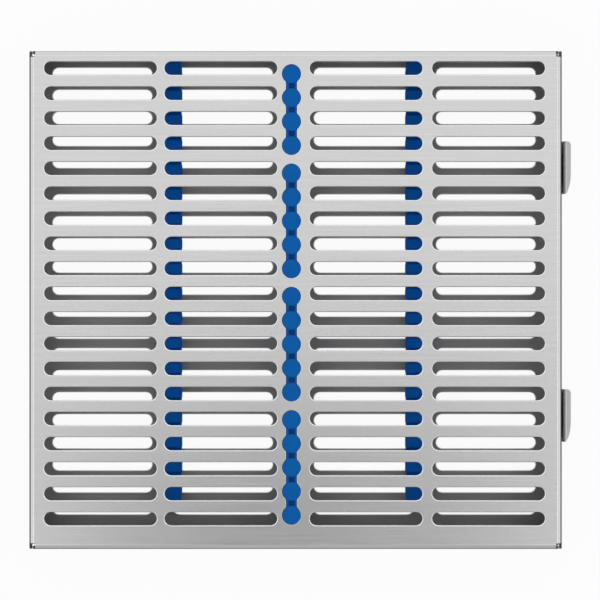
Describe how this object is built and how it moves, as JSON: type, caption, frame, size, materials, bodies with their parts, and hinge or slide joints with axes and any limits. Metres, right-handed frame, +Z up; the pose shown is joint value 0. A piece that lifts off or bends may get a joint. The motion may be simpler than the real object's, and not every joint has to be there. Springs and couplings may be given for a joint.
{
  "type": "instrument cassette",
  "caption": "Slotted steel cassette for sterilising hand instruments: hinged lid on a tray, silicone rails and hold-down pads, lever latches.",
  "frame": {"origin": "on the tray's underside, midway along the lid's length and width", "axes": "+X from the hinge side to the latch side, +Y to the back, +Z up out of the open tray"},
  "size_m": [0.2085, 0.1916, 0.0323],
  "materials": {
    "lid_steel": "satin brushed",
    "tray_steel": "satin brushed",
    "latch_steel": "satin brushed",
    "pin_steel": "satin brushed",
    "pad_silicone": "satin silicone",
    "rail_silicone": "satin silicone"
  },
  "bodies": {
    "tray": {"base_tray": "tray_steel", "rail_channel_left": "tray_steel", "rail_channel_right": "tray_steel", "rail_left": "rail_silicone", "rail_right": "rail_silicone", "hinge_pin_front": "pin_steel", "latch_bracket_front": "latch_steel", "latch_pin_front": "pin_steel", "latch_rivets_front": "pin_steel", "hinge_pin_back": "pin_steel", "latch_bracket_back": "latch_steel", "latch_pin_back": "pin_steel", "latch_rivets_back": "pin_steel"},
    "lid": {"lid_cover": "lid_steel", "hold_down_pad_1": "pad_silicone", "hold_down_pad_2": "pad_silicone", "hold_down_pad_3": "pad_silicone", "hold_down_pad_4": "pad_silicone"},
    "latch_front": {"latch_lever_front": "latch_steel"},
    "latch_back": {"latch_lever_back": "latch_steel"}
  },
  "joints": [
    {"name": "lid_hinge", "type": "hinge", "parent": "tray", "child": "lid", "pos_m": [-0.10065, 0, 0.022], "axis": [0, -1, 0], "range_deg": [0, 110]},
    {"name": "latch_front_hinge", "type": "hinge", "parent": "tray", "child": "latch_front", "pos_m": [0.10435, -0.0445, 0.009], "axis": [0, 1, 0], "range_deg": [0, 80]},
    {"name": "latch_back_hinge", "type": "hinge", "parent": "tray", "child": "latch_back", "pos_m": [0.10435, 0.051, 0.009], "axis": [0, 1, 0], "range_deg": [0, 80]}
  ]
}
